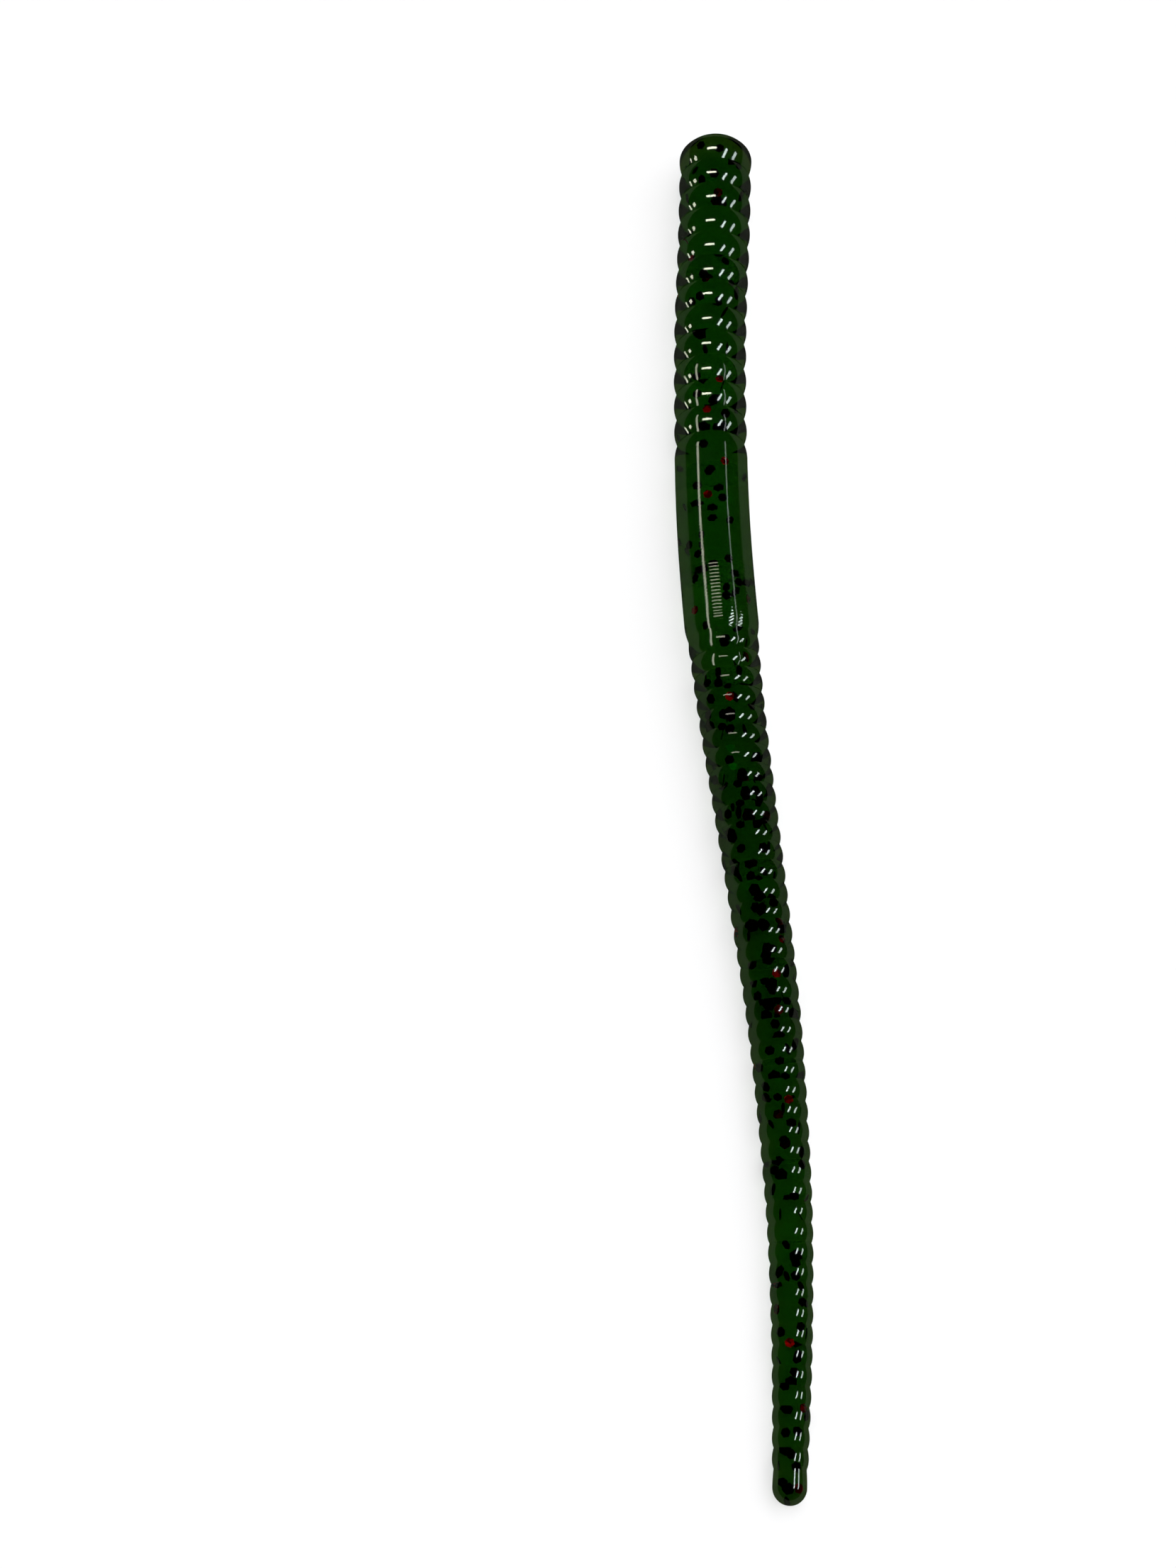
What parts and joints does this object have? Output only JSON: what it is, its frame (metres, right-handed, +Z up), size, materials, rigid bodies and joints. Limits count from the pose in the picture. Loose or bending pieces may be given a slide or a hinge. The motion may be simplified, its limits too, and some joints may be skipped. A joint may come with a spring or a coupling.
{
  "type": "soft plastic worm",
  "caption": "Ringed soft plastic fishing worm with a blunt nose, smooth collar, tapering ringed tail and cast-in flakes, bending section by section.",
  "frame": {"origin": "centre of the worm's box, on the surface it rests on", "axes": "+Y along the worm towards its nose, +Z up, +X to the right seen from above with the nose away"},
  "size_m": [0.0108, 0.127, 0.0069],
  "materials": {
    "plastisol": "glossy translucent dark green soft vinyl",
    "black_flake": "black hexagonal polyester flake",
    "red_foil_flake": "red metallised hexagonal polyester flake"
  },
  "bodies": {
    "nose": {"nose_section": "plastisol", "nose_black_flakes": "black_flake", "nose_red_flakes": "red_foil_flake"},
    "head_front": {"head_front_section": "plastisol", "head_front_black_flakes": "black_flake", "head_front_red_flakes": "red_foil_flake"},
    "head_rear": {"head_rear_section": "plastisol", "head_rear_black_flakes": "black_flake", "head_rear_red_flakes": "red_foil_flake"},
    "collar_front": {"collar_front_section": "plastisol", "collar_front_black_flakes": "black_flake", "collar_front_red_flakes": "red_foil_flake"},
    "collar_rear": {"collar_rear_section": "plastisol", "collar_rear_black_flakes": "black_flake", "collar_rear_red_flakes": "red_foil_flake"},
    "tail_1": {"tail_1_section": "plastisol", "tail_1_black_flakes": "black_flake", "tail_1_red_flakes": "red_foil_flake"},
    "tail_2": {"tail_2_section": "plastisol", "tail_2_black_flakes": "black_flake", "tail_2_red_flakes": "red_foil_flake"},
    "tail_3": {"tail_3_section": "plastisol", "tail_3_black_flakes": "black_flake", "tail_3_red_flakes": "red_foil_flake"},
    "tail_4": {"tail_4_section": "plastisol", "tail_4_black_flakes": "black_flake", "tail_4_red_flakes": "red_foil_flake"},
    "tail_5": {"tail_5_section": "plastisol", "tail_5_black_flakes": "black_flake", "tail_5_red_flakes": "red_foil_flake"},
    "tail_6": {"tail_6_section": "plastisol", "tail_6_black_flakes": "black_flake", "tail_6_red_flakes": "red_foil_flake"},
    "tail_7": {"tail_7_section": "plastisol", "tail_7_black_flakes": "black_flake", "tail_7_red_flakes": "red_foil_flake"},
    "tail_8": {"tail_8_section": "plastisol", "tail_8_black_flakes": "black_flake", "tail_8_red_flakes": "red_foil_flake"},
    "tail_tip": {"tail_tip_section": "plastisol", "tail_tip_black_flakes": "black_flake", "tail_tip_red_flakes": "red_foil_flake"}
  },
  "joints": [
    {"name": "head_front_swing", "type": "hinge", "parent": "nose", "child": "head_front", "pos_m": [-0.00133, 0.05315, 0.00342], "axis": [0, 0, 1], "range_deg": [-25, 25], "stiffness_Nm_per_rad": 0.0011},
    {"name": "head_rear_lift", "type": "hinge", "parent": "head_front", "child": "head_rear", "pos_m": [-0.00185, 0.04265, 0.00338], "axis": [-0.9988, 0.0489, 0], "range_deg": [-25, 25], "stiffness_Nm_per_rad": 0.00097},
    {"name": "collar_front_swing", "type": "hinge", "parent": "head_rear", "child": "collar_front", "pos_m": [-0.00201, 0.03213, 0.00335], "axis": [0, 0, 1], "range_deg": [-25, 25], "stiffness_Nm_per_rad": 0.00094},
    {"name": "collar_rear_lift", "type": "hinge", "parent": "collar_front", "child": "collar_rear", "pos_m": [-0.00189, 0.02246, 0.00334], "axis": [-0.9999, -0.0122, 0], "range_deg": [-25, 25], "stiffness_Nm_per_rad": 0.001},
    {"name": "tail_1_swing", "type": "hinge", "parent": "collar_rear", "child": "tail_1", "pos_m": [-0.00135, 0.0128, 0.00334], "axis": [0, 0, 1], "range_deg": [-25, 25], "stiffness_Nm_per_rad": 0.001},
    {"name": "tail_2_lift", "type": "hinge", "parent": "tail_1", "child": "tail_2", "pos_m": [-0.00052, 0.00366, 0.00299], "axis": [-0.9959, -0.0906, 0], "range_deg": [-25, 25], "stiffness_Nm_per_rad": 0.00068},
    {"name": "tail_3_swing", "type": "hinge", "parent": "tail_2", "child": "tail_3", "pos_m": [0.00051, -0.00526, 0.00278], "axis": [0, 0, 1], "range_deg": [-25, 25], "stiffness_Nm_per_rad": 0.00052},
    {"name": "tail_4_lift", "type": "hinge", "parent": "tail_3", "child": "tail_4", "pos_m": [0.00153, -0.01406, 0.00257], "axis": [-0.9934, -0.1149, 0], "range_deg": [-25, 25], "stiffness_Nm_per_rad": 0.00038},
    {"name": "tail_5_swing", "type": "hinge", "parent": "tail_4", "child": "tail_5", "pos_m": [0.00244, -0.02276, 0.00236], "axis": [0, 0, 1], "range_deg": [-25, 25], "stiffness_Nm_per_rad": 0.00028},
    {"name": "tail_6_lift", "type": "hinge", "parent": "tail_5", "child": "tail_6", "pos_m": [0.00303, -0.03138, 0.00216], "axis": [-0.9977, -0.068, 0], "range_deg": [-25, 25], "stiffness_Nm_per_rad": 0.0002},
    {"name": "tail_7_swing", "type": "hinge", "parent": "tail_6", "child": "tail_7", "pos_m": [0.0034, -0.03988, 0.00196], "axis": [0, 0, 1], "range_deg": [-25, 25], "stiffness_Nm_per_rad": 0.00013},
    {"name": "tail_8_lift", "type": "hinge", "parent": "tail_7", "child": "tail_8", "pos_m": [0.00343, -0.04661, 0.0018], "axis": [-1, -0.0035, 0], "range_deg": [-25, 25], "stiffness_Nm_per_rad": 0.00012},
    {"name": "tail_tip_swing", "type": "hinge", "parent": "tail_8", "child": "tail_tip", "pos_m": [0.00327, -0.05326, 0.00164], "axis": [0, 0, 1], "range_deg": [-25, 25], "stiffness_Nm_per_rad": 0.000085}
  ]
}
